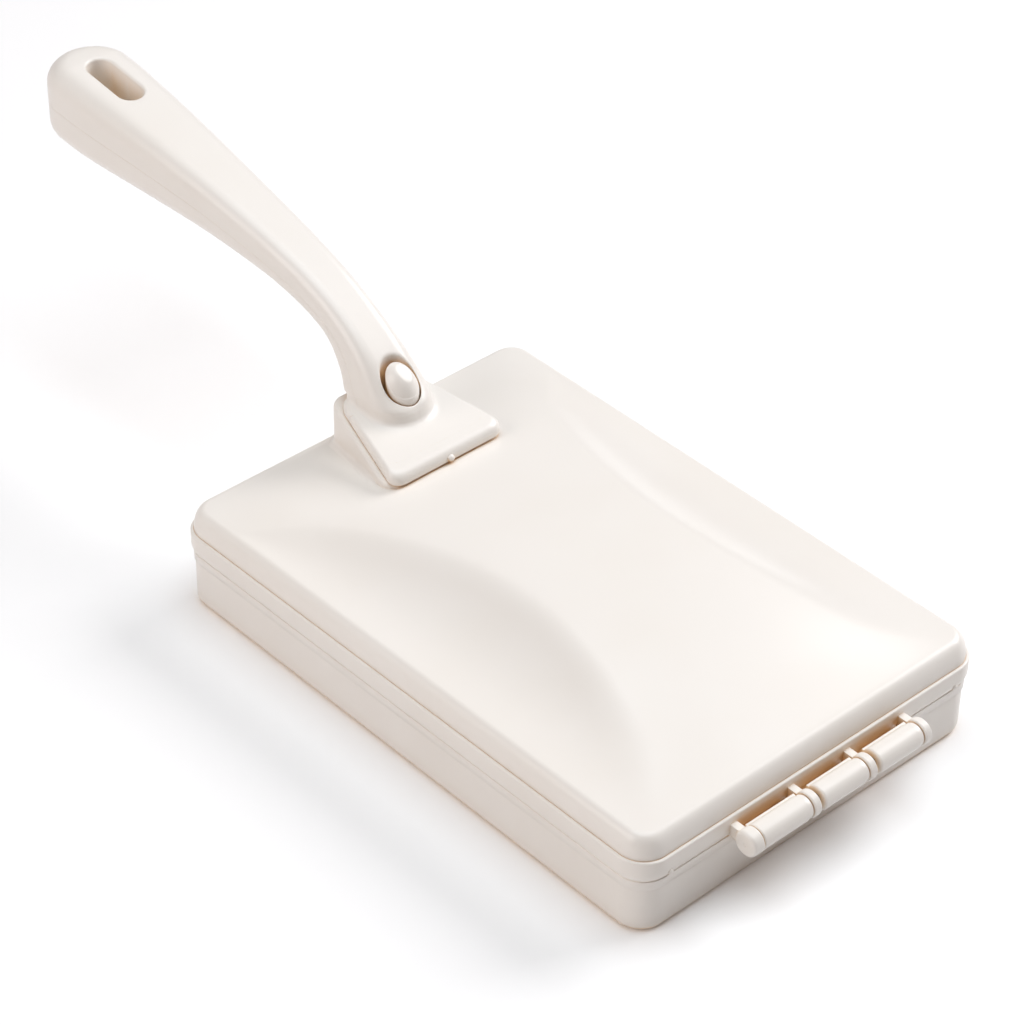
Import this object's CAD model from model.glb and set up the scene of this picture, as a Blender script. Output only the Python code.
"""Looks of the hair sweeper: moulded cream shells, handle, button, hinge and brush rollers."""
import math

import bmesh
import bpy
import numpy as np
from mathutils import Matrix, Vector
from mathutils.bvhtree import BVHTree


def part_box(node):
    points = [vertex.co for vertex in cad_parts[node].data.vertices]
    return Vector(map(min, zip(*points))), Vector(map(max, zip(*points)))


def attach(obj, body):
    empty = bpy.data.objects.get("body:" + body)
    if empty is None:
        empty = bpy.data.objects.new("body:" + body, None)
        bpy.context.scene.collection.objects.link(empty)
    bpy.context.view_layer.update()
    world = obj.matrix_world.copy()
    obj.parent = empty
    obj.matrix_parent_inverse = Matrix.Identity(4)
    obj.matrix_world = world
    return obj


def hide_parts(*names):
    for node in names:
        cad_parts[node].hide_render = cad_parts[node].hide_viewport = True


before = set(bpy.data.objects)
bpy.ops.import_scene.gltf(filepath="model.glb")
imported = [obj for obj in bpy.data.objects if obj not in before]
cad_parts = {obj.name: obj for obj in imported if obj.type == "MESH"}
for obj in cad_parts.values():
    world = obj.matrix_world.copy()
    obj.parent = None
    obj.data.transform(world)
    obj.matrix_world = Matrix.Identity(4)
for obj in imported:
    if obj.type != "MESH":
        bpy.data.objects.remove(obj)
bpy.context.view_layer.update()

MM = 0.001
TAU = 2 * math.pi

# Sizes in millimetres, as in the part's source where it has them
ABOVE = 400.0  # well above everything
BELOW = -100.0  # well below everything
HEAD_HALF_X = -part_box("top_cover")[0][0] / MM
HEAD_HALF_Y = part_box("top_cover")[1][1] / MM
BAND_PROUD = 1.0
CORNER = 9.0
WALL = 2.0
COVER_WALL = 3.25  # from the band's outer face to the cover's inside
JOINT_Z = 18.3
JOINT_GAP = 0.02  # half of the fine joint between cover and tray
BAND_TOP = JOINT_Z + 6.8
RIM_Z = BAND_TOP + 6.9
EDGE_ROUND = 3.8
EDGE_FALL = 6.4  # the top edge falls away this far before it stands upright
WALL_HALF_X = HEAD_HALF_X - BAND_PROUD
WALL_HALF_Y = HEAD_HALF_Y - BAND_PROUD
WALL_CORNER = CORNER - BAND_PROUD
TOP_HALF_X = WALL_HALF_X - EDGE_ROUND
TOP_HALF_Y = WALL_HALF_Y - EDGE_ROUND

CROWN_HEIGHT = 12.2
CROWN_OFFSET = 7.5
CROWN_POWER = 3
WAIST_HALF = 27.7
WAIST_OFFSET = 11.0
CRESCENT_RADIUS = 127.0
CRESCENT_POWER = 2.2
RIDGE_SOFT = 2.4
RIDGE_FADE = 4.0  # the ridge sharpens where the crown is lower than this

SEAT_HEIGHT = 40.1
SEAT_RISE = math.tan(math.radians(10))
SEAT_GAP = 0.25
FOOT_X = -50.3
FOOT_LENGTH = 34.0
FOOT_FRONT = 21.3
FOOT_REAR = 12.2
FOOT_CORNER = 4.0
FOOT_EDGE = 4.2
FOOT_ROUND = 2.8
PEDESTAL_SIDE = 1.4
PEDESTAL_REAR = 4.2
PEDESTAL_SETBACK = 0.3
PEDESTAL_EDGE = 1.3
PEDESTAL_FILLET = 2.0

HINGE_X = HEAD_HALF_X + 6.6
HINGE_Z = JOINT_Z + 2.8
BARREL_RADIUS = 3.7
BARREL_STEP = 0.28
LUG_PITCH = 21.0
LUG_THICK = 2.4
LUG_PROUD = 0.15
CAP_EXTRA = 1.4  # the first lug is a thicker cap
ARM_TOP = JOINT_Z + 4.4
WEB_LOW = JOINT_Z - 3.4
HINGE_HALF = 1.5 * LUG_PITCH
MARK_INSET = 10.5

ROLLER_X = 17.0
BRISTLE_RADIUS = 13.7
ROLLER_Z = BRISTLE_RADIUS + 0.4
CORE_RADIUS = 5.0
BRISTLE_HALF = 49.5
SLOT_HALF_X = 13.0
SLOT_HALF_Y = 52.0
FLOOR_THICK = 1.8
BASE_ROUND = 2.4
STRIP_HEIGHT = 3.2
STRIP_PROUD = 0.35
RIB_HALF = 47.0
BOSS_RADIUS = 3.0
BOSS_Y = 51.5

BUTTON_X = FOOT_X - 20.7
BUTTON_RADIUS = 4.8
BUTTON_BOTTOM = 50.6
STEM_RADIUS = 2.5
STEM_BOTTOM = 40.75
STEM_LENGTH = 16.0
WELL_RADIUS = 5.8
WELL_X = BUTTON_X - 0.85
WELL_FLOOR = SEAT_HEIGHT + 6
HANG_X = -200.8
HANG_LENGTH = 22.5
HANG_WIDTH = 8.5
SHELL_WALL = 2.0
SEAM_GAP = 0.03


# Mesh building

def skin(rings, closed=True, tip_start=False, tip_end=False):
    """Points and faces of a skin over rings of equal length; a tip closes an end with a fan."""
    rings = np.asarray(rings, dtype=float)
    count, size = rings.shape[:2]
    points = rings.reshape(-1, 3)
    around = size if closed else size - 1
    faces = []
    for i in range(count - 1):
        for j in range(around):
            k = (j + 1) % size
            faces.append((i * size + j, i * size + k, (i + 1) * size + k, (i + 1) * size + j))
    if tip_start:
        points = np.vstack([points, rings[0].mean(axis=0)])
        faces += [(len(points) - 1, (j + 1) % size, j) for j in range(size)]
    if tip_end:
        last = (count - 1) * size
        points = np.vstack([points, rings[-1].mean(axis=0)])
        faces += [(len(points) - 1, last + j, last + (j + 1) % size) for j in range(size)]
    return points, faces


def torus_skin(rings):
    """A skin whose last ring joins its first one."""
    rings = list(rings)
    points, faces = skin(rings)
    size = len(rings[0])
    last = (len(rings) - 1) * size
    faces += [(last + j, last + (j + 1) % size, (j + 1) % size, j) for j in range(size)]
    return points, faces


def new_mesh(name, parts):
    """One mesh from several point and face lists in millimetres, with outward faces."""
    points, faces, start = [], [], 0
    for part_points, part_faces in parts:
        points.append(np.asarray(part_points) * MM)
        faces += [tuple(int(v) + start for v in f) for f in part_faces]
        start += len(part_points)
    mesh = bpy.data.meshes.new(name)
    mesh.from_pydata(np.vstack(points).tolist(), [], faces)
    shape = bmesh.new()
    shape.from_mesh(mesh)
    bmesh.ops.recalc_face_normals(shape, faces=shape.faces)
    shape.to_mesh(mesh)
    shape.free()
    return mesh


def link_new(name, data):
    """A new object for a mesh, lamp or camera."""
    holder = bpy.data.objects.new(name, data)
    bpy.context.collection.objects.link(holder)
    return holder


def new_object(name, parts):
    return link_new(name, new_mesh(name, parts))


def reshape(piece, kind, **settings):
    """Puts a modifier's result in place of a piece's mesh."""
    step = piece.modifiers.new("step", kind)
    for key, value in settings.items():
        setattr(step, key, value)
    bpy.context.view_layer.update()
    solved = piece.evaluated_get(bpy.context.evaluated_depsgraph_get())
    mesh = bpy.data.meshes.new_from_object(solved)
    piece.modifiers.remove(step)
    piece.data = mesh


def cut(piece, *cutters):
    """Takes the cutters' solids away from a piece."""
    for cutter in cutters:
        reshape(piece, "BOOLEAN", operation="DIFFERENCE", solver="EXACT", object=cutter)
        bpy.data.objects.remove(cutter)


def round_edges(piece, width):
    """Rounds a piece's sharp edges."""
    reshape(piece, "BEVEL", width=width * MM, segments=3, limit_method="ANGLE",
            angle_limit=math.radians(40), harden_normals=False)


def dress(piece, body, slot, material, *nodes, sharp=35):
    """Shades a piece, gives it its finish, and fastens it to its body in place of nodes."""
    piece.data.materials.clear()
    piece.data.materials.append(material)
    piece.data.shade_smooth()
    piece.data.set_sharp_from_angle(angle=math.radians(sharp))
    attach(piece, body)
    if nodes:
        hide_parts(*nodes)


def box_part(low, high):
    xs, ys, zs = zip(low, high)
    points = [(x, y, z) for x in xs for y in ys for z in zs]
    faces = [(0, 1, 3, 2), (4, 6, 7, 5), (0, 4, 5, 1), (2, 3, 7, 6), (0, 2, 6, 4), (1, 5, 7, 3)]
    return np.array(points, dtype=float), faces


def circle(radius, steps, x=0.0):
    return np.array([(x + radius * math.cos(TAU * k / steps), radius * math.sin(TAU * k / steps))
                     for k in range(steps)])


def lathe(profile, steps=64):
    """A turned skin about Z from (radius, height) pairs that start and end on the axis."""
    rings = [at_height(circle(max(radius, 1e-4), steps), height) for radius, height in profile]
    return skin(rings, tip_start=True, tip_end=True)


def turned_ring(profile, steps):
    """A turned skin whose profile closes on itself."""
    return torus_skin([at_height(circle(radius, steps), height) for radius, height in profile])


def placed(part, matrix):
    points, faces = part
    points = np.c_[np.asarray(points), np.ones(len(points))] @ np.array(matrix).T
    return points[:, :3], faces


def along_y(x, y, z):
    """Turns a part made about Z so that its Z runs along +Y from a place."""
    return Matrix.Translation((x, y, z)) @ Matrix.Rotation(math.radians(-90), 4, "X")


# Outlines

def rounded_rect(half_x, half_y, radius, steps_x=140, steps_y=90, steps_corner=14):
    """Evenly spaced points round a rounded rectangle, counter-clockwise from its left side."""
    flat_x, flat_y = half_x - radius, half_y - radius
    points = []
    corners = [(1, -1, -90), (1, 1, 0), (-1, 1, 90), (-1, -1, 180)]
    starts = [(-flat_x, -half_y), (half_x, -flat_y), (flat_x, half_y), (-half_x, flat_y)]
    spans = [(2 * flat_x, 0, steps_x), (0, 2 * flat_y, steps_y),
             (-2 * flat_x, 0, steps_x), (0, -2 * flat_y, steps_y)]
    for (sx, sy, turn), (x, y), (dx, dy, steps) in zip(corners, starts, spans):
        points += [(x + dx * k / steps, y + dy * k / steps) for k in range(steps)]
        points += [(sx * flat_x + radius * math.cos(math.radians(turn + 90 * k / steps_corner)),
                    sy * flat_y + radius * math.sin(math.radians(turn + 90 * k / steps_corner)))
                   for k in range(steps_corner)]
    return np.array(points)


def rounded_polygon(corners, radius, arc_steps=10, side_steps=24):
    """A convex outline with arcs at its corners, counter-clockwise, always of the same length."""
    corners = [np.array(c, dtype=float) for c in corners]
    arcs = []
    for i, corner in enumerate(corners):
        to_prev = corners[i - 1] - corner
        to_next = corners[(i + 1) % len(corners)] - corner
        to_prev /= np.linalg.norm(to_prev)
        to_next /= np.linalg.norm(to_next)
        half = math.acos(np.clip(to_prev @ to_next, -1, 1)) / 2
        inward = (to_prev + to_next) / np.linalg.norm(to_prev + to_next)
        middle = corner + inward * radius / math.sin(half)
        first = corner + to_prev * radius / math.tan(half) - middle
        last = corner + to_next * radius / math.tan(half) - middle
        angle0 = math.atan2(first[1], first[0])
        turn = (math.atan2(last[1], last[0]) - angle0) % TAU
        arcs.append([middle + radius * np.array([math.cos(angle0 + turn * k / arc_steps),
                                                 math.sin(angle0 + turn * k / arc_steps)])
                     for k in range(arc_steps + 1)])
    points = []
    for i, arc in enumerate(arcs):
        points += arc
        start, end = arc[-1], arcs[(i + 1) % len(arcs)][0]
        points += [start + (end - start) * k / side_steps for k in range(1, side_steps)]
    return np.array(points)


def foot_outline(side=0.0, front=0.0, rear=0.0, radius=FOOT_CORNER):
    """Plan outline of the handle's foot, grown on its sides, front and rear."""
    slope = (FOOT_FRONT - FOOT_REAR) / FOOT_LENGTH
    front_x, rear_x = FOOT_X + front, FOOT_X - FOOT_LENGTH - rear
    half_front = FOOT_FRONT + side + slope * front
    half_rear = FOOT_REAR + side - slope * rear
    return rounded_polygon([(front_x, -half_front), (front_x, half_front),
                            (rear_x, half_rear), (rear_x, -half_rear)], radius)


def at_height(outline, heights):
    heights = np.broadcast_to(heights, len(outline))
    return np.c_[outline, heights]


def quarter(steps):
    """Angles from 0 to 90 degrees."""
    return [math.pi / 2 * k / steps for k in range(steps + 1)]


# The cover's sculpted top

def crown(x, y):
    """Height of the dome above its rim: a crowned back with a scooped crescent on each side."""
    x, y = np.asarray(x, float), np.asarray(y, float)
    reach = np.where(x > CROWN_OFFSET, TOP_HALF_X - CROWN_OFFSET, TOP_HALF_X + CROWN_OFFSET)
    along = np.clip(1 - ((x - CROWN_OFFSET) / reach) ** 2, 0, None)
    across = np.clip(1 - np.minimum(1, np.abs(y) / TOP_HALF_Y) ** CROWN_POWER, 0, None)
    back = CROWN_HEIGHT * along * across
    # From the crescent's edge the bank falls in a hollow curve to the rim
    off = x - WAIST_OFFSET
    edge = WAIST_HALF + CRESCENT_RADIUS - np.sqrt(CRESCENT_RADIUS ** 2 - off ** 2)
    edge_in = np.minimum(edge, TOP_HALF_Y)
    room = np.maximum(TOP_HALF_Y - edge, 1)
    bank = (CROWN_HEIGHT * along * (1 - (edge_in / TOP_HALF_Y) ** CROWN_POWER)
            * (np.maximum(0, TOP_HALF_Y - np.abs(y)) / room) ** CRESCENT_POWER)
    # The two meet in a ridge that is rounded by RIDGE_SOFT
    soft = RIDGE_SOFT * np.minimum(1, back / RIDGE_FADE) + 1e-3
    blend = np.maximum(soft - np.abs(back - bank), 0) / soft
    scooped = np.minimum(back, bank) - blend ** 2 * soft / 4
    return np.where(edge >= TOP_HALF_Y - 1, back, scooped)


def top_z(x, y):
    """Height of the dome's outer skin."""
    return RIM_Z + crown(x, y)


def seat_z(x):
    """Height of the sloping seat that the handle's foot stands on."""
    return SEAT_HEIGHT + (FOOT_X - x) * SEAT_RISE


def inset_ring(inset, z):
    """A ring round the head, inset from the band's outer face."""
    outline = rounded_rect(HEAD_HALF_X - inset, HEAD_HALF_Y - inset, max(CORNER - inset, 0.5))
    return at_height(outline, z)


# The cover's rim in section, as pairs of inset from the band's outer face and height: first the
# step on its inside, then the band, whose lower edge turns in, then the groove at the band's top
BAND_ROUND = 0.5
RIM_INSIDE = [(COVER_WALL, BAND_TOP - 1), (3.2, BAND_TOP - 1.05), (2.1, BAND_TOP - 1.05),
              (2, BAND_TOP - 1.15), (2, JOINT_Z + 0.3), (1.8, JOINT_Z + 0.1),
              (1, JOINT_Z + JOINT_GAP)]
BAND_FACE = [(0.7, JOINT_Z + 0.16), (0.3, JOINT_Z + 0.9), (0.08, JOINT_Z + 1.7),
             (0, JOINT_Z + 2.3), (0, JOINT_Z + 4), (0, BAND_TOP - BAND_ROUND)]
BAND_GROOVE = [(0.88, BAND_TOP - 0.04), (0.97, BAND_TOP - 0.16), (1.04, BAND_TOP - 0.16),
               (1.02, BAND_TOP + 0.1), (BAND_PROUD, BAND_TOP + 0.5)]


def rounded_edge(inset, z, across, up, steps):
    """Section of an upper edge that turns inward; its upright start is left out."""
    return [(inset + across * (1 - math.cos(a)), z - up * (1 - math.sin(a)))
            for a in quarter(steps)[1:]]


def cover_skin():
    """One closed skin: the dome's inside, the rim in section, then the dome's outside."""
    inner = rounded_rect(HEAD_HALF_X - COVER_WALL, HEAD_HALF_Y - COVER_WALL, CORNER - COVER_WALL)
    rings = []
    for share in np.linspace(0.04, 1, 26):
        ring = inner * share
        height = top_z(*ring.T) - WALL if share < 1 else RIM_Z - EDGE_ROUND
        rings.append(at_height(ring, height))
    section = RIM_INSIDE + BAND_FACE
    section += rounded_edge(0, BAND_TOP, BAND_ROUND, BAND_ROUND, 4) + BAND_GROOVE
    section += rounded_edge(BAND_PROUD, RIM_Z, EDGE_ROUND, EDGE_FALL, 16)
    rings += [inset_ring(inset, z) for inset, z in section]
    outline = rounded_rect(TOP_HALF_X, TOP_HALF_Y, WALL_CORNER - EDGE_ROUND)
    for share in np.linspace(1, 0.02, 84)[1:]:
        ring = outline * share
        rings.append(at_height(ring, top_z(*ring.T)))
    return skin(rings, tip_start=True, tip_end=True)


def pedestal_skin():
    """The wedge that carries the handle, blended into the dome."""

    def grown(out, corner=None):
        side = PEDESTAL_SIDE + out
        corner = FOOT_CORNER + side if corner is None else corner
        return foot_outline(side, out - PEDESTAL_SETBACK, PEDESTAL_REAR + out, corner)

    rings = []
    for inset in (9, 5, 2.5):
        outline = grown(-inset, FOOT_CORNER)
        rings.append(at_height(outline, seat_z(outline[:, 0])))
    for a in quarter(5):
        outline = grown(-PEDESTAL_EDGE * (1 - math.sin(a)))
        drop = PEDESTAL_EDGE * (1 - math.cos(a))
        rings.append(at_height(outline, seat_z(outline[:, 0]) - drop))
    # The fillet at the wedge's foot is lower where little wall stands above the dome
    wall = grown(0)
    standing = seat_z(wall[:, 0]) - PEDESTAL_EDGE - top_z(*wall.T)
    share = np.clip(standing / PEDESTAL_FILLET - 1, 0, 1)
    for a in quarter(6):
        outline = grown(PEDESTAL_FILLET * (1 - math.cos(a)))
        rise = PEDESTAL_FILLET * (1 - math.sin(a)) * share - 0.02
        rings.append(at_height(outline, top_z(*outline.T) + rise))
    under = grown(PEDESTAL_FILLET)
    rings.append(at_height(under, top_z(*under.T) - 1))
    return skin(rings, tip_start=True, tip_end=True)


def lug_parts(middle, capped):
    """An eye round the hinge pin, and the arm that carries it. A capped eye has a domed end."""
    edge = 0.45
    radius = BARREL_RADIUS + LUG_PROUD
    dome = 1.1 if capped else edge
    thick = LUG_THICK + (CAP_EXTRA if capped else 0)
    # The cap has a small gate mark at its centre
    profile = [(0, 0.3), (0.4, 0.3), (0.55, 0.03)] if capped else [(0, 0)]
    profile += [(radius - dome * (1 - math.sin(a)), dome * (1 - math.cos(a))) for a in quarter(6)]
    profile += [(radius, dome + 0.15), (radius, thick - edge - 0.15), (radius, thick - edge),
                (radius - 0.3 * edge, thick - 0.13), (radius - edge, thick), (0, thick)]
    high_y = middle + LUG_THICK / 2
    eye = placed(lathe(profile), along_y(HINGE_X, high_y - thick, HINGE_Z))
    arm = box_part((HEAD_HALF_X - 1, high_y - LUG_THICK, JOINT_Z + 0.6), (HINGE_X, high_y, ARM_TOP))
    return [eye, arm]


def make_cover(material):
    shell = new_object("cover_moulding", [cover_skin(), pedestal_skin()])
    dress(shell, "cover", "cream_plastic", material, "top_cover")
    lugs = []
    for k in range(4):
        lugs += lug_parts(k * LUG_PITCH - HINGE_HALF, capped=k == 0)
    piece = new_object("hinge_lugs", lugs)
    round_edges(piece, 0.3)
    dress(piece, "cover", "cream_plastic", material)
    # Two small moulding marks on the band, near its front corners
    mark = lathe([(0, 0.35), (0.35, 0.33), (0.6, 0.2), (0.78, 0), (0.8, -0.5), (0, -0.5)], 24)
    turn = Matrix.Rotation(math.radians(90), 4, "Y")
    marks = [placed(mark, Matrix.Translation((HEAD_HALF_X, y, JOINT_Z + 1.2)) @ turn)
             for y in (MARK_INSET - HEAD_HALF_Y, HEAD_HALF_Y - MARK_INSET)]
    dress(new_object("band_marks", marks), "cover", "cream_plastic", material)


# Tray

# The tray in section, as pairs of inset from its wall's outer face and height: the floor with its
# rounded edge, the fine proud strip, the lip that the cover closes over, and the inside
TRAY_TOP = JOINT_Z - JOINT_GAP
STRIP_LOW = TRAY_TOP - STRIP_HEIGHT
FLOOR_INSET = 40.0
TRAY_SECTION = [(FLOOR_INSET, 0)]
TRAY_SECTION += [(BASE_ROUND * (1 - math.sin(a)), BASE_ROUND * (1 - math.cos(a)))
                 for a in quarter(8)]
TRAY_SECTION += [(0, STRIP_LOW - 0.15), (-0.6 * STRIP_PROUD, STRIP_LOW),
                 (-STRIP_PROUD, STRIP_LOW + 0.2), (-STRIP_PROUD, TRAY_TOP - 0.3),
                 (0.3 - STRIP_PROUD, TRAY_TOP), (1.72, TRAY_TOP), (1.72, TRAY_TOP + 2.6),
                 (2, TRAY_TOP + 3), (2.7, TRAY_TOP + 3), (3, TRAY_TOP + 2.7), (3, TRAY_TOP - 2.6),
                 (WALL, TRAY_TOP - 3.2), (WALL, FLOOR_THICK + 1.5),
                 (WALL + 0.45, FLOOR_THICK + 0.45), (WALL + 1.5, FLOOR_THICK),
                 (FLOOR_INSET, FLOOR_THICK)]


def tray_skin():
    rings = []
    for inset, z in TRAY_SECTION:
        corner = max(WALL_CORNER - inset, 0.5)
        outline = rounded_rect(WALL_HALF_X - inset, WALL_HALF_Y - inset, corner, 60, 40)
        rings.append(at_height(outline, z))
    return skin(rings, tip_start=True, tip_end=True)


def slot_cutter(side):
    """A roller's slot in the floor, flared towards the table."""
    rings = []
    for out, z in ((1.2, -2), (1.2, -0.25), (0.35, 0.35), (0, 1.1), (0, FLOOR_THICK + 2)):
        outline = rounded_rect(SLOT_HALF_X + out, SLOT_HALF_Y + out, 1.5 + out, 4, 12, 6)
        rings.append(at_height(outline + np.array([side * ROLLER_X, 0]), z))
    return new_object("cutter", [skin(rings, tip_start=True, tip_end=True)])


def ramp_part(side):
    """The curved lip that throws hair from a slot into its bin."""
    start, rise, width = ROLLER_X + SLOT_HALF_X + 1, 8.6, 3.78
    half, sunk = RIB_HALF + 0.2, FLOOR_THICK - 0.5
    arc = [(start + width * (1 - math.cos(a)), sunk + rise * math.sin(a) ** 0.9)
           for a in quarter(8)]
    # The lip's back runs down beside it and grows thicker
    back = [(x + 1.2 + 0.2 * k, z - 0.25 * k) for k, (x, z) in enumerate(reversed(arc))]
    back[-1] = (back[-1][0], sunk)
    rings = [[(side * x, y, z) for x, z in arc + back] for y in np.linspace(-half, half, 3)]
    return skin(rings, tip_start=True, tip_end=True)


def barrel_parts(k):
    """A hinge barrel with a stepped end, and the web and shelf that carry it."""
    y0 = -HINGE_HALF + LUG_THICK / 2 + 0.3 + k * LUG_PITCH
    y1 = y0 + LUG_PITCH - LUG_THICK - 0.6
    y0 += 0 if k == 0 else 1.4
    span = y1 - y0
    edge, bore = 0.4, 1.45
    full, low = BARREL_RADIUS, BARREL_RADIUS - BARREL_STEP
    # Extra points beside each turn keep the long sides' shading straight
    section = [(bore, 0), (full - edge, 0), (full - 0.1, 0.14), (full, edge), (full, edge + 0.2),
               (full, 0.5 * span), (full, span - 2.2), (full, span - 2), (low, span - 1.8),
               (low, span - 1.6), (low, span - edge), (low - 0.12, span - 0.1),
               (low - edge, span), (bore, span)]
    barrel = placed(turned_ring(section, 96), along_y(HINGE_X, y0, HINGE_Z))
    web_x, side = HINGE_X - BARREL_RADIUS - 0.4, 0.2
    web = box_part((web_x, y0 + side, WEB_LOW), (web_x + 1, y1 - side, ARM_TOP))
    shelf = box_part((WALL_HALF_X - 1, y0 + side, WEB_LOW), (web_x + 1, y1 - side, JOINT_Z - 0.8))
    return barrel, [web, shelf]


def make_tray(material):
    shell = new_object("tray_moulding", [tray_skin()])
    cut(shell, slot_cutter(-1), slot_cutter(1))
    dress(shell, "tray", "cream_plastic", material, "base_tray")
    barrels, webs = [], []
    for k in range(3):
        barrel, plates = barrel_parts(k)
        barrels.append(barrel)
        webs += plates
    dress(new_object("hinge_barrels", barrels), "tray", "cream_plastic", material, sharp=50)
    fittings = webs + [ramp_part(-1), ramp_part(1)]
    fittings.append(box_part((-1, -RIB_HALF, FLOOR_THICK - 0.5), (1, RIB_HALF, FLOOR_THICK + 4)))
    boss = lathe([(0, -0.5), (BOSS_RADIUS, -0.5), (BOSS_RADIUS, 4), (0, 4)], 32)
    boss_x = ROLLER_X + SLOT_HALF_X + 6
    for x in (-boss_x, boss_x):
        for y in (-BOSS_Y, BOSS_Y):
            fittings.append(placed(boss, Matrix.Translation((x, y, FLOOR_THICK))))
    piece = new_object("tray_ribs", fittings)
    round_edges(piece, 0.25)
    dress(piece, "tray", "cream_plastic", material)


# Handle

END_W = 13.7
TIP_X = -226.0
TOP_EDGE = 7.0
LOW_EDGE = 6.5
LOWER_DEPTH = 6.6
LIP = 0.07
SLOT_RIM = 0.9
SLOT_LEDGE = 0.45
WELL_RIM = 0.5
SLOT_CUTS_END = (60.0, 110.0)  # heights where the slot's two cutters end
NUB_RADIUS = 1.1
SOLID_END_X = -176.0  # beyond this the shells are solid, round the hanging slot
TURN_X, TURN_SPAN = -108.0, 40.0  # where the grip's section turns into the foot's plan
REAR_EDGE = 2.6
REAR_FALL = 1.4
SEAT_FRONT_Z = SEAT_HEIGHT + SEAT_GAP
SEAT_REAR_Z = SEAT_FRONT_Z + FOOT_LENGTH * SEAT_RISE
REAR_X = FOOT_X - FOOT_LENGTH
# Each row: top point x and z, bottom point x and z, half width above and below, top corner radius
GRIP_ROWS = [
    (TIP_X + END_W, 98.4, TIP_X + END_W, 72.8, END_W, END_W - 0.2, TOP_EDGE),
    (-200, 97, -200, 71.9, 13.6, 13.2, TOP_EDGE),
    (-172, 92.9, -172.3, 71.2, 11.8, 11.3, 6.2),
    (-146, 88, -146.6, 70.1, 10, 9.5, 5.4),
    (-120, 82.2, -121.6, 67.7, 8.7, 8.4, 4.8),
    (-102, 76.7, -105.8, 64.4, 8.1, 7.9, 4.5),
    (-88.6, 70.1, -96.4, 60.5, 8, 8.1, 4.5),
    (-78.2, 62.8, -90.4, 54.8, 8.7, 8.9, 5),
    (-70.6, 55.2, -87.2, 50.6, 9.9, 10.1, 6.2),
]
# The neck stands up steeply from the foot's flat top, rounded in plan about the button
FLARE_ROWS = [
    (-66.3, 51.7, -86.2, 50.5, 9.9, 10.2, 7.6),
    (-64.9, 50, -85.9, 50.4, 9.8, 10.3, 8.6),
    (-64.3, 48.5, -85.7, 50.25, 9.8, 10.4, 9.2),
    (-63.8, 47.3, -85.5, 50.1, 10.1, 10.5, 9.4),
    (-62.8, 46.4, -85.2, 49.8, 10.7, 10.7, 9.4),
    (-61.2, 45.8, -84.9, 49.5, 11.9, 10.9, 9),
    (-57.5, 45.2, -84.2, 49.15, 15.3, 11.1, 6.5),
    (FOOT_X - FOOT_ROUND, SEAT_FRONT_Z + FOOT_EDGE, REAR_X + 1, SEAT_REAR_Z + REAR_EDGE,
     FOOT_FRONT - 2.6, FOOT_REAR - 0.9, 3.2),
]


def spline_rows(rows, steps):
    """A smooth run of rows through the given ones."""
    rows = np.array(rows, dtype=float)
    out = []
    for i in range(len(rows) - 1):
        a, b = rows[max(i - 1, 0)], rows[i]
        c, d = rows[i + 1], rows[min(i + 2, len(rows) - 1)]
        for k in range(steps):
            t = k / steps
            out.append(0.5 * (2 * b + (c - a) * t + (2 * a - 5 * b + 4 * c - d) * t * t
                              + (3 * b - a - 3 * c + d) * t ** 3))
    out.append(rows[-1])
    return out


def end_drop(radius, inset):
    """How far a rounded edge lies below the flat at an inset from its outer side."""
    if inset >= radius:
        return 0.0
    return radius - math.sqrt(radius ** 2 - (radius - max(inset, 0.0)) ** 2)


def handle_rows():
    first = GRIP_ROWS[0]
    rows = []
    for a in np.radians(np.r_[3, 6, 10, 14, 19, 25, 32, 40, 49, 59, 69, 80]):
        inset = END_W * (1 - math.cos(a))
        x = first[0] - END_W * math.cos(a)
        top = first[1] - 0.5 * math.cos(a) - end_drop(TOP_EDGE, inset)
        rows.append((x, top, x, first[3] + end_drop(LOW_EDGE, inset),
                     first[4] * math.sin(a), first[5] * math.sin(a), TOP_EDGE))
    rows += spline_rows(GRIP_ROWS + FLARE_ROWS, 12)
    # The foot's rounded upper edge, then its upright rim with a small lower edge
    start = rows[-1]
    for a in quarter(6)[1:]:
        grow, fall = math.sin(a), 1 - math.cos(a)
        rows.append((FOOT_X - FOOT_ROUND + FOOT_ROUND * grow,
                     SEAT_FRONT_Z + FOOT_EDGE - FOOT_ROUND * fall,
                     REAR_X + 1 - grow, SEAT_REAR_Z + REAR_EDGE - REAR_FALL * fall,
                     start[4] + (FOOT_FRONT - start[4]) * grow,
                     start[5] + (FOOT_REAR - start[5]) * grow,
                     start[6] + (FOOT_CORNER - start[6]) * grow))
    edge = 0.3
    rows.append((FOOT_X, SEAT_FRONT_Z + edge, REAR_X, SEAT_REAR_Z + edge,
                 FOOT_FRONT, FOOT_REAR, FOOT_CORNER))
    rows.append((FOOT_X - edge, SEAT_FRONT_Z, REAR_X + edge, SEAT_REAR_Z,
                 FOOT_FRONT - edge, FOOT_REAR - edge, FOOT_CORNER - edge))
    return [np.array(row, dtype=float) for row in rows]


def foot_share(row):
    """0 on the grip, rising softly to 1 on the foot, as the section takes the foot's plan."""
    t = min(max((row[0] - TURN_X) / TURN_SPAN, 0.0), 1.0)
    return t * t * (3 - 2 * t)


def half_section(over, w, h, start, sign, side_steps=7):
    """From the seam on the right, up its side, over the top or bottom, to the seam on the left."""
    low = sign * start
    right = [(w, low + (over[0][1] - low) * k / side_steps) for k in range(side_steps)] + over
    points = right + [(0.0, h)] + [(-x, y) for x, y in reversed(right)]
    return [(x, sign * y) for x, y in points]


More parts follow.
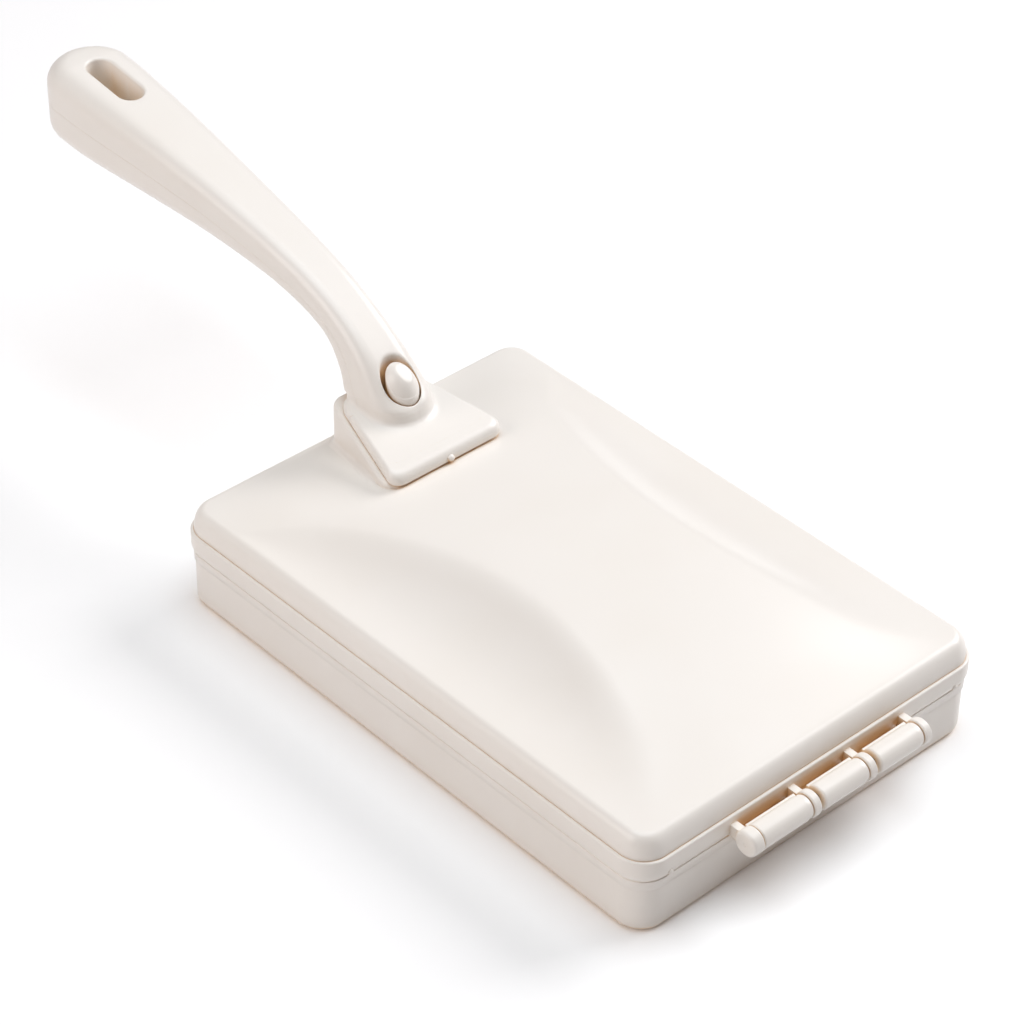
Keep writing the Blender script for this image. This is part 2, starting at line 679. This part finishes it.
def side_points(w, h, radius, start, sign, flat_steps=9, arc_steps=9, side_steps=7):
    """A half section with a round corner and a flat top."""
    turn = [(w - radius + radius * math.cos(a), h - radius + radius * math.sin(a))
            for a in quarter(arc_steps)]
    flat = [(turn[-1][0] * (1 - k / flat_steps), h) for k in range(1, flat_steps)]
    return half_section(turn + flat, w, h, start, sign, side_steps)


def end_points(ahead, w, h, edge, start, sign, flat_steps=9, arc_steps=9):
    """A half section of the round end, whose edge runs round the end's own upright axis."""
    full = h + end_drop(edge, END_W - ahead)
    reach = 0.92 * math.acos(max(1 - (END_W - ahead) / edge, 0))
    spread = []
    for a in quarter(arc_steps):
        radius = END_W - edge * (1 - math.cos(a * reach / (math.pi / 2)))
        spread.append(math.sqrt(max(radius ** 2 - ahead ** 2, 0)))
    spread += [spread[-1] * (1 - k / flat_steps) for k in range(1, flat_steps)]
    over = [(y * w / spread[0], full - end_drop(edge, END_W - math.hypot(ahead, y)))
            for y in spread]
    return half_section(over, w, h, start, sign)


def shell_ring(row, up):
    """One closed ring of a shell: its outer half section, then its inner one back."""
    h = math.hypot(row[0] - row[2], row[1] - row[3]) / 2
    w = (row[4] + row[5]) / 2
    share = foot_share(row)
    sign = 1 if up else -1
    start = -max(0.0, h - LOWER_DEPTH) * share + sign * SEAM_GAP / 2
    if up:
        radius = min(row[6], w * 0.96)
    else:
        radius = min(LOW_EDGE * (1 - share) + FOOT_CORNER * share, w * 0.9, h * 0.9)
    ahead = TIP_X + END_W - row[0]
    if ahead > 0.01:
        outer = end_points(ahead, w, h, TOP_EDGE if up else LOW_EDGE, start, sign)
    else:
        outer = side_points(w, h, radius, start, sign)
    inner_w = max(w - SHELL_WALL, w * 0.4)
    inner_h = max(h - SHELL_WALL, 0.3)
    inner_radius = min(max(0.6, radius - SHELL_WALL), inner_w * 0.9)
    inner = side_points(inner_w, inner_h, inner_radius, start, sign, 4, 4, 3)
    if row[0] < SOLID_END_X:
        inner = [(x, start + sign * 0.3 * (1 - (x / inner_w) ** 2)) for x, _ in inner]
    # The seam's lip is rounded off, so that the joint reads as a fine dark line
    ring = [(w - LIP, start), (w - 0.3 * LIP, start + sign * 0.3 * LIP), (w, start + sign * LIP)]
    ring += outer[1:-1]
    ring += [(-x, y) for x, y in reversed(ring[:3])]
    ring += list(reversed(inner))
    middle = np.array([(row[0] + row[2]) / 2, (row[1] + row[3]) / 2])
    lean = np.array([row[0] - row[2], row[1] - row[3]]) / (2 * h)
    points = []
    for x, y in ring:
        wide = (row[5] + (row[4] - row[5]) * (y + h) / (2 * h)) / w
        points.append((middle[0] + lean[0] * y, x * wide, middle[1] + lean[1] * y))
    return points


def shell_part(up):
    """A closed loft of one handle shell: its rings are loops of outer and inner points."""
    rings = np.array([shell_ring(row, up) for row in handle_rows()])
    count, size = rings.shape[:2]
    points, faces = skin(rings)
    last = (count - 1) * size
    outer = len(side_points(5, 5, 2, 0, 1)) + 4
    inner = size - outer
    # Each end is closed by a strip between the outer and the inner points
    ends, i, j = [], 0, 0
    while i < outer - 1 or j < inner - 1:
        step_outer = (i + 1) / (outer - 1) if i < outer - 1 else 2
        step_inner = (j + 1) / (inner - 1) if j < inner - 1 else 2
        if step_outer <= step_inner:
            ends.append((i, i + 1, size - 1 - j))
            i += 1
        else:
            ends.append((i, size - 2 - j, size - 1 - j))
            j += 1
    faces += ends + [tuple(last + v for v in reversed(f)) for f in ends]
    return points, faces


def surface_height(tree, x, y, upward):
    """Height of a piece's upper or lower surface at a place, by a ray."""
    start = Vector((x * MM, y * MM, (ABOVE if upward else BELOW) * MM))
    hit = tree.ray_cast(start, Vector((0, 0, -1 if upward else 1)))[0]
    return hit.z / MM if hit else None


def surface_tree(piece):
    return BVHTree.FromObject(piece, bpy.context.evaluated_depsgraph_get())


def flared_cutter(piece, outline_at, rim, far_z, upward=True):
    """A cutter with a trumpet mouth, so that the hole it leaves has a rounded rim."""
    tree = surface_tree(piece)
    sign = 1 if upward else -1
    rings = []
    mouth = [(rim + 0.25, 0.06 * rim)]
    mouth += [(rim * (1 - math.sin(a)), -rim * (1 - math.cos(a))) for a in quarter(6)]
    for out, rise in mouth:
        outline = outline_at(out)
        heights = [surface_height(tree, x, y, upward) for x, y in outline]
        known = [z for z in heights if z is not None]
        heights = [z if z is not None else np.mean(known) for z in heights]
        rings.append(at_height(outline, np.array(heights) + sign * rise))
    top = rings[0].copy()
    top[:, 2] += sign * 30
    low = rings[-1].copy()
    low[:, 2] = far_z
    return new_object("cutter", [skin([top] + rings + [low], tip_start=True, tip_end=True)])


def stadium(out, steps=24):
    """The hanging slot's outline, grown by an amount."""
    radius = HANG_WIDTH / 2 + out
    half = (HANG_LENGTH - HANG_WIDTH) / 2
    right = [(HANG_X + half + radius * math.cos(a), radius * math.sin(a))
             for a in np.linspace(-math.pi / 2, math.pi / 2, steps)]
    left = [(HANG_X - half + radius * math.cos(a), radius * math.sin(a))
            for a in np.linspace(math.pi / 2, 3 * math.pi / 2, steps)]
    return np.array(right + left)


def well(out):
    """The button's round recess, grown by an amount."""
    return circle(WELL_RADIUS + out, 72, WELL_X)


def well_cup(shell):
    """The cup below the well's mouth, with the hole that the button's stem runs in."""
    tree = surface_tree(shell)
    inner, outer = well(0.05), well(1)
    hole = circle(STEM_RADIUS + 0.3, 72, BUTTON_X)

    def mouth(outline):
        heights = np.array([surface_height(tree, x, y, True) for x, y in outline])
        return at_height(outline, heights - 1.2)

    return torus_skin([mouth(outer), mouth(inner), at_height(inner, WELL_FLOOR),
                       at_height(hole, WELL_FLOOR), at_height(hole, WELL_FLOOR - 1),
                       at_height(outer, WELL_FLOOR - 1)])


def make_handle(material):
    upper = new_object("handle_top_half", [shell_part(True)])
    cup = new_object("button_cup", [well_cup(upper)])
    dress(cup, "cover", "cream_plastic", material)
    cut(upper, flared_cutter(upper, stadium, SLOT_RIM, SLOT_CUTS_END[0]))
    cut(upper, flared_cutter(upper, well, WELL_RIM, WELL_FLOOR))
    dress(upper, "cover", "cream_plastic", material, "handle_upper_shell", sharp=38)
    ball = lathe([(NUB_RADIUS * math.cos(a), NUB_RADIUS * math.sin(a))
                  for a in np.linspace(-math.pi / 2, math.pi / 2, 17)], 32)
    ball = placed(ball, Matrix.Translation((FOOT_X, 0, SEAT_FRONT_Z + 1.2)))
    dress(new_object("foot_nub", [ball]), "cover", "cream_plastic", material)
    lower = new_object("handle_bottom_half", [shell_part(False)])
    # The lower half's slot is a little narrower, which leaves the fine ledge that shows inside
    cut(lower, flared_cutter(lower, lambda out: stadium(out - SLOT_LEDGE), SLOT_RIM,
                             SLOT_CUTS_END[1], upward=False))
    dress(lower, "cover", "cream_plastic", material, "handle_lower_shell", sharp=38)


# Button

# Height, and half axes along and across, of the egg shape and of the dish in its crest
EGG = (10.2, 7.2, 5.9)
EGG_MIDDLE = (-2.4, 51.0)
DISH = (0.62, 2.7, 2.1)
DISH_MIDDLE = (0.3, 0.5)
DISH_SOFT = 0.05


def dome_z(x, y):
    """Height of the button's end at a place from its axis."""
    egg = 1 - ((x - EGG_MIDDLE[0]) / EGG[1]) ** 2 - (y / EGG[2]) ** 2
    dish = 1 - ((x - DISH_MIDDLE[0]) / DISH[1]) ** 2 - ((y - DISH_MIDDLE[1]) / DISH[2]) ** 2
    dish *= DISH[0]
    dish = 0.5 * (dish + np.hypot(dish, DISH_SOFT)) - 0.001
    return EGG_MIDDLE[1] + EGG[0] * np.sqrt(np.maximum(egg, 0.004)) - dish


def make_button(material):
    """A round peg whose end is a slanted egg-shaped dome, with a thumb dish on its crest."""
    edge, rings = 0.3, []

    def ring(radius, z):
        rings.append(at_height(circle(radius, 96, BUTTON_X), z))

    for t in np.linspace(0.03, math.pi / 2, 48):
        radius = (BUTTON_RADIUS - edge) * math.sin(t)
        crest = dome_z(*circle(radius, 96).T)
        ring(radius, crest)
    # The dome's rim is a narrow bevel, then the peg's side runs down
    for out, drop in ((0.5, 0.14), (0.85, 0.3), (1, 0.6)):
        ring(BUTTON_RADIUS - edge * (1 - out), crest - drop)
    ring(BUTTON_RADIUS, BUTTON_BOTTOM + edge)
    ring(BUTTON_RADIUS - edge, BUTTON_BOTTOM)
    head = skin(rings, tip_start=True, tip_end=True)
    stem = lathe([(0, 0), (STEM_RADIUS, 0), (STEM_RADIUS, STEM_LENGTH), (0, STEM_LENGTH)], 40)
    stem = placed(stem, Matrix.Translation((BUTTON_X, 0, STEM_BOTTOM)))
    piece = new_object("button_peg", [head, stem])
    dress(piece, "button", "cream_plastic", material, "release_button", sharp=50)


# Rollers

TUFT_ROWS = 4
TUFTS = 46
FILAMENTS = 9
ROW_TWIST = math.radians(150)
LINE_ANGLE = 0.22  # between the two lines of filaments in a row


def filament(rng, side, y, angle):
    """Nine points of one bending three-sided filament, from the core to its tip."""
    lean_a, lean_y = rng.normal(0, 0.075), rng.normal(0, 0.75)
    tip = BRISTLE_RADIUS - abs(rng.normal(0, 0.25))
    angle += rng.normal(0, 0.028)
    points = []
    # Distance from the roller's axis, share of the bend, and half width
    for radius, bend, wide in ((CORE_RADIUS - 0.3, 0, 0.13), (9.5, 0.45, 0.12), (tip, 1, 0.07)):
        a = angle + lean_a * bend
        along = np.clip(y + 0.35 * (rng.random() - 0.5) + lean_y * bend,
                        -BRISTLE_HALF, BRISTLE_HALF)
        out = np.array([math.cos(a), 0, math.sin(a)])
        turn = np.array([-math.sin(a), 0, math.cos(a)]) * wide
        flank = np.array([0, 0.87 * wide, 0])
        middle = np.array([side * ROLLER_X, along, ROLLER_Z]) + out * radius
        points += [middle + turn, middle - turn * 0.5 + flank, middle - turn * 0.5 - flank]
    return points


def filament_faces(start):
    faces = []
    for low in (start, start + 3):
        for k in range(3):
            n = (k + 1) % 3
            faces.append((low + k, low + n, low + 3 + n, low + 3 + k))
    return faces + [(start + 2, start + 1, start), (start + 6, start + 7, start + 8)]


def make_bristles(side, body, node, material):
    """Tufts of filaments in winding rows, each tuft fanned out towards its tips."""
    rng = np.random.default_rng(7 + side)
    points, faces = [], []
    for row in range(TUFT_ROWS):
        for tuft in range(TUFTS):
            share = (tuft + 0.5) / TUFTS
            y = (BRISTLE_HALF - 1) * (2 * share - 1)
            angle = math.radians(45 + 90 * row) + side * ROW_TWIST * share
            for line in (-0.5, 0.5):
                for _ in range(FILAMENTS):
                    faces += filament_faces(len(points))
                    points += filament(rng, side, y, angle + line * LINE_ANGLE)
    piece = new_object(node.replace("bristles", "tufts"), [(np.array(points), faces)])
    dress(piece, body, "bristle_fibre", material, node, sharp=80)


# Materials

class Reading:
    """A number that changes over a surface. Arithmetic on it adds Math nodes."""

    def __init__(self, recipe, socket):
        self.recipe = recipe
        self.socket = socket

    def combine(self, operation, first, second):
        made = self.recipe.node("ShaderNodeMath", {"operation": operation}, {0: first, 1: second})
        return Reading(self.recipe, made.outputs[0])

    def __add__(self, other):
        return self.combine("ADD", self, other)

    __radd__ = __add__

    def __mul__(self, other):
        return self.combine("MULTIPLY", self, other)

    __rmul__ = __mul__

    def __sub__(self, other):
        return self.combine("SUBTRACT", self, other)

    def __rsub__(self, other):
        return self.combine("SUBTRACT", other, self)

    def above(self, low, high):
        """0 below low, 1 above high, with a soft step between."""
        settings = {"interpolation_type": "SMOOTHSTEP"}
        values = {"Value": self, "From Min": low, "From Max": high}
        made = self.recipe.node("ShaderNodeMapRange", settings, values)
        return Reading(self.recipe, made.outputs[0])


class Recipe:
    """The nodes of a material or of the world."""

    def __init__(self, tree):
        self.tree = tree

    def node(self, kind, settings=None, values=None):
        """A new node of a type, with its settings and the values or links of its sockets."""
        made = self.tree.nodes.new(kind)
        for key, value in (settings or {}).items():
            setattr(made, key, value)
        for key, value in (values or {}).items():
            self.feed(made.inputs[key], value)
        return made

    def feed(self, target, value):
        if isinstance(value, Reading):
            self.tree.links.new(value.socket, target)
        elif isinstance(value, bpy.types.NodeSocket):
            self.tree.links.new(value, target)
        else:
            target.default_value = value


class Finish(Recipe):
    """A procedural material built on one Principled shader, whose constants it is given."""

    def __init__(self, name, **constants):
        self.material = bpy.data.materials.new(name)
        self.material.use_nodes = True
        super().__init__(self.material.node_tree)
        self.shader = self.tree.nodes["Principled BSDF"]
        for key, value in constants.items():
            self.shader.inputs[key.replace("_", " ")].default_value = value

    def noise(self, scale, roughness=0.5):
        place = self.node("ShaderNodeTexCoord").outputs["Object"]
        values = {"Vector": place, "Scale": scale, "Detail": 2, "Roughness": roughness}
        return Reading(self, self.node("ShaderNodeTexNoise", None, values).outputs["Fac"])

    def openness(self, distance):
        """1 on open surfaces, falling to 0 in joints and holes of about a distance in metres."""
        made = self.node("ShaderNodeAmbientOcclusion", {"samples": 8}, {"Distance": distance})
        return Reading(self, made.outputs["AO"])

    def blend(self, share, first, second):
        """A colour between two others."""
        made = self.node("ShaderNodeMix", {"data_type": "RGBA"}, {0: share, 6: first, 7: second})
        return made.outputs[2]

    def bump(self, height, depth, strength):
        values = {"Height": height, "Distance": depth, "Strength": strength}
        made = self.node("ShaderNodeBump", None, values)
        self.feed(self.shader.inputs["Normal"], made.outputs["Normal"])

    def set(self, **values):
        for key, value in values.items():
            self.feed(self.shader.inputs[key.replace("_", " ")], value)


def colour(red, green, blue):
    return (red, green, blue, 1)


def cream_finish(name, base, warm, deep, roughness):
    """Satin moulded plastic: faint flow mottling, a fine orange peel and slightly uneven gloss."""
    finish = Finish(name, Coat_Roughness=0.22, IOR=1.5)
    mottle = finish.noise(22)
    fine = finish.noise(1400)
    peel = finish.noise(260, 0.4)
    # Light that gets lost in a joint or a hole comes back out warm
    depth = 0.9 * (1 - finish.openness(0.012).above(0.05, 0.6))
    skin_colour = finish.blend(mottle.above(0.35, 0.75), colour(*base), colour(*warm))
    finish.set(Base_Color=finish.blend(depth, skin_colour, colour(*deep)),
               Roughness=roughness + 0.08 * (peel - 0.5) + 0.05 * (mottle - 0.5),
               Coat_Weight=0.12 + 0.06 * (mottle - 0.5))
    finish.bump(peel + 0.25 * fine, 0.00003, 0.5)
    return finish.material


def steel_finish():
    finish = Finish("zinc_steel", Metallic=1.0)
    streak = finish.noise(900)
    dull, bright = colour(0.5, 0.5, 0.52), colour(0.66, 0.66, 0.67)
    finish.set(Base_Color=finish.blend(streak.above(0.3, 0.7), dull, bright),
               Roughness=0.3 + 0.15 * (streak - 0.5))
    finish.bump(streak, 0.00001, 0.3)
    return finish.material


def bristle_finish():
    finish = Finish("nylon_bristle", Sheen_Weight=0.2)
    strand = finish.noise(500)
    dark, grey = colour(0.055, 0.055, 0.062), colour(0.11, 0.11, 0.12)
    finish.set(Base_Color=finish.blend(strand.above(0.3, 0.75), dark, grey),
               Roughness=0.48 + 0.15 * (strand - 0.5))
    finish.bump(strand, 0.00002, 0.3)
    return finish.material


CREAM = cream_finish("cream_plastic", base=(0.865, 0.828, 0.778), warm=(0.85, 0.808, 0.752),
                     deep=(0.78, 0.49, 0.2), roughness=0.33)
INNER = cream_finish("inner_plastic", base=(0.78, 0.74, 0.68), warm=(0.76, 0.715, 0.65),
                     deep=(0.55, 0.42, 0.28), roughness=0.42)
STEEL = steel_finish()
BRISTLE = bristle_finish()

make_cover(CREAM)
make_tray(CREAM)
make_handle(CREAM)
make_button(CREAM)
make_bristles(1, "front_roller", "front_roller_bristles", BRISTLE)
make_bristles(-1, "rear_roller", "rear_roller_bristles", BRISTLE)

KEPT_NODES = {
    INNER: ["foot_plate", "left_bearing_plate", "right_bearing_plate", "front_roller_core",
            "rear_roller_core", "front_left_plug", "front_right_plug", "rear_left_plug",
            "rear_right_plug"],
    STEEL: ["hinge_pin", "handle_screws", "button_spring", "button_collar", "bearing_screws"],
}
for material, names in KEPT_NODES.items():
    for name in names:
        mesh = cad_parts[name].data
        mesh.materials.clear()
        mesh.materials.append(material)


# Floor, light and camera

def make_floor():
    """A plain white table top that keeps the object's shadow."""
    mesh = bpy.data.meshes.new("floor")
    reach = 6.0
    corners = [(-reach, -reach, 0), (reach, -reach, 0), (reach, reach, 0), (-reach, reach, 0)]
    mesh.from_pydata(corners, [], [(0, 1, 2, 3)])
    finish = Finish("white_table", Roughness=0.55)
    pale, white = colour(0.87, 0.87, 0.87), colour(0.88, 0.88, 0.88)
    finish.set(Base_Color=finish.blend(finish.noise(3), pale, white))
    # The table's own colour is lifted to paper white for the camera only
    camera_ray = finish.node("ShaderNodeLightPath").outputs["Is Camera Ray"]
    plain = finish.shader.outputs[0]
    glow = finish.node("ShaderNodeEmission", None,
                       {"Color": colour(1, 1, 1), "Strength": FLOOR_LIFT})
    both = finish.node("ShaderNodeAddShader", None, {0: plain, 1: glow.outputs[0]})
    mixed = finish.node("ShaderNodeMixShader", None,
                        {0: camera_ray, 1: plain, 2: both.outputs[0]})
    finish.feed(finish.tree.nodes["Material Output"].inputs["Surface"], mixed.outputs[0])
    mesh.materials.append(finish.material)
    link_new("floor", mesh)


def make_world():
    """A faint warm fill light; the camera itself sees plain white behind the table."""
    world = bpy.data.worlds.new("studio")
    bpy.context.scene.world = world
    world.use_nodes = True
    sky = Recipe(world.node_tree)
    fill = sky.tree.nodes["Background"]
    sky.feed(fill.inputs["Color"], FILL_COLOUR)
    sky.feed(fill.inputs["Strength"], FILL_STRENGTH)
    white = sky.node("ShaderNodeBackground", None, {"Color": colour(1, 1, 1), "Strength": 1})
    camera_ray = sky.node("ShaderNodeLightPath").outputs["Is Camera Ray"]
    mixed = sky.node("ShaderNodeMixShader", None,
                     {0: camera_ray, 1: fill.outputs[0], 2: white.outputs[0]})
    sky.feed(sky.tree.nodes["World Output"].inputs["Surface"], mixed.outputs[0])


def area_lamp(name, place, size, power, tint):
    """A softbox that faces the head."""
    lamp = bpy.data.lights.new(name, "AREA")
    lamp.shape = "RECTANGLE"
    lamp.size, lamp.size_y = size
    lamp.energy = power
    lamp.color = tint
    holder = link_new(name, lamp)
    holder.location = place
    towards = HEAD_MIDDLE - Vector(place)
    holder.rotation_euler = towards.to_track_quat("-Z", "Y").to_euler()


FLOOR_LIFT = 0.115
FILL_COLOUR = colour(1, 0.62, 0.44)
FILL_STRENGTH = 0.1
HEAD_MIDDLE = Vector((0, 0, 0.03))
# Name, place, size, power and tint of each lamp
LAMPS = [
    ("overhead", (0, 0, 1.6), (1.4, 1.4), 16, (0.83, 0.93, 1)),
    ("left_softbox", (-0.3, -1.3, 0.8), (1, 0.8), 9.8, (1, 0.93, 0.9)),
    ("right_softbox", (0.2, 1.3, 1), (1, 0.8), 20.1, (1, 0.985, 0.995)),
]
make_floor()
make_world()
for lamp_values in LAMPS:
    area_lamp(*lamp_values)

# The camera as it was solved from the reference view
CAMERA_PLACE = (0.5161, -0.5034, 0.6144)
CAMERA_RIGHT = (0.6734, 0.73915, 0.01371)
CAMERA_UP = (-0.4624, 0.40665, 0.78792)
CAMERA_BACK = (0.57681, -0.53693, 0.61562)
FOCAL_LENGTH = 118.8
camera = bpy.data.cameras.new("camera")
camera.sensor_width = 36
camera.lens = FOCAL_LENGTH
camera.clip_start = 0.05
camera.clip_end = 20
viewpoint = link_new("camera", camera)
turn = Matrix((CAMERA_RIGHT, CAMERA_UP, CAMERA_BACK)).transposed()
viewpoint.matrix_world = Matrix.Translation(CAMERA_PLACE) @ turn.to_4x4()
bpy.context.scene.camera = viewpoint
bpy.context.scene.view_settings.view_transform = "Standard"
